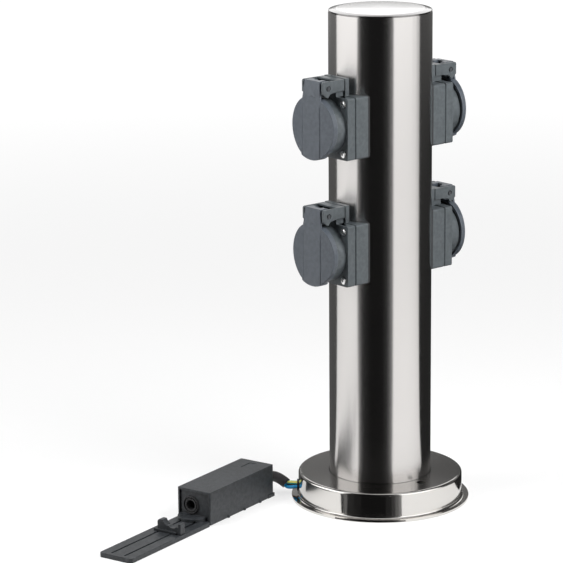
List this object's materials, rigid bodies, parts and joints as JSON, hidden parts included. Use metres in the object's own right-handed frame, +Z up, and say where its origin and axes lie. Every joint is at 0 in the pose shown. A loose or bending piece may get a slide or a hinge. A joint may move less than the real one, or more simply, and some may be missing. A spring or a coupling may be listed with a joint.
{
  "type": "garden socket post",
  "caption": "Round steel garden post on a flanged base, with lidded mains sockets back to back and a small connection box on short leads.",
  "frame": {"origin": "on the ground, under the middle of the tube", "axes": "+Z up the tube; the sockets face +X and -X; the fixing holes lie on the Y axis"},
  "size_m": [0.3426, 0.1601, 0.41],
  "materials": {
    "brushed_steel": "satin brushed, grain round the tube",
    "cap_steel": "satin",
    "base_steel": "satin spun",
    "screw_steel": "bright",
    "black_plastic": "fine matte texture",
    "lid_plastic": "fine matte texture",
    "insert_plastic": "satin",
    "pin_plastic": "satin",
    "box_plastic": "fine matte texture",
    "rubber": "matte",
    "sleeve_rubber": "satin",
    "brass": "plain",
    "spring_metal": "bright drawn",
    "terminal_plastic": "milky",
    "blue_insulation": "smooth",
    "green_yellow_insulation": "smooth, two colours",
    "brown_insulation": "smooth"
  },
  "bodies": {
    "post": {"post_tube": "brushed_steel", "top_cap": "cap_steel", "base_pan": "base_steel", "cover_screws": "screw_steel", "saddle_gasket_left_lower": "rubber", "mounting_frame_left_lower": "black_plastic", "socket_cover_left_lower": "black_plastic", "socket_insert_left_lower": "insert_plastic", "pin_contacts_left_lower": "brass", "earth_clip_left_lower": "spring_metal", "hinge_pin_left_lower": "pin_plastic", "lid_spring_left_lower": "spring_metal", "saddle_gasket_left_upper": "rubber", "mounting_frame_left_upper": "black_plastic", "socket_cover_left_upper": "black_plastic", "socket_insert_left_upper": "insert_plastic", "pin_contacts_left_upper": "brass", "earth_clip_left_upper": "spring_metal", "hinge_pin_left_upper": "pin_plastic", "lid_spring_left_upper": "spring_metal", "saddle_gasket_right_lower": "rubber", "mounting_frame_right_lower": "black_plastic", "socket_cover_right_lower": "black_plastic", "socket_insert_right_lower": "insert_plastic", "pin_contacts_right_lower": "brass", "earth_clip_right_lower": "spring_metal", "hinge_pin_right_lower": "pin_plastic", "lid_spring_right_lower": "spring_metal", "saddle_gasket_right_upper": "rubber", "mounting_frame_right_upper": "black_plastic", "socket_cover_right_upper": "black_plastic", "socket_insert_right_upper": "insert_plastic", "pin_contacts_right_upper": "brass", "earth_clip_right_upper": "spring_metal", "hinge_pin_right_upper": "pin_plastic", "lid_spring_right_upper": "spring_metal", "inner_wire_blue": "blue_insulation", "inner_wire_green_yellow": "green_yellow_insulation", "inner_wire_brown": "brown_insulation", "lead_grommet": "rubber", "box_housing": "box_plastic", "box_tray": "box_plastic", "cable_gland": "rubber", "terminal_block": "terminal_plastic", "terminal_screws": "brass", "wire_sleeve": "sleeve_rubber", "lead_blue": "blue_insulation", "lead_green_yellow": "green_yellow_insulation", "lead_brown": "brown_insulation"},
    "left_lower_lid": {"lid_left_lower": "lid_plastic", "lid_seal_left_lower": "rubber"},
    "left_upper_lid": {"lid_left_upper": "lid_plastic", "lid_seal_left_upper": "rubber"},
    "right_lower_lid": {"lid_right_lower": "lid_plastic", "lid_seal_right_lower": "rubber"},
    "right_upper_lid": {"lid_right_upper": "lid_plastic", "lid_seal_right_upper": "rubber"},
    "strain_relief": {"cable_clamp": "box_plastic"}
  },
  "joints": [
    {"name": "lid_hinge_left_lower", "type": "hinge", "parent": "post", "child": "left_lower_lid", "pos_m": [-0.06655, 0, 0.2501], "axis": [0, 1, 0], "range_deg": [0, 115], "stiffness_Nm_per_rad": 0.004, "springref_deg": -34.38},
    {"name": "lid_hinge_left_upper", "type": "hinge", "parent": "post", "child": "left_upper_lid", "pos_m": [-0.06655, 0, 0.3533], "axis": [0, 1, 0], "range_deg": [0, 115], "stiffness_Nm_per_rad": 0.004, "springref_deg": -34.38},
    {"name": "lid_hinge_right_lower", "type": "hinge", "parent": "post", "child": "right_lower_lid", "pos_m": [0.06655, 0, 0.2501], "axis": [0, -1, 0], "range_deg": [0, 115], "stiffness_Nm_per_rad": 0.004, "springref_deg": -34.38},
    {"name": "lid_hinge_right_upper", "type": "hinge", "parent": "post", "child": "right_upper_lid", "pos_m": [0.06655, 0, 0.3533], "axis": [0, -1, 0], "range_deg": [0, 115], "stiffness_Nm_per_rad": 0.004, "springref_deg": -34.38},
    {"name": "clamp_slide", "type": "slide", "parent": "post", "child": "strain_relief", "axis": [-0.9627, -0.2706, 0], "range_m": [-0.012, 0.05]}
  ]
}
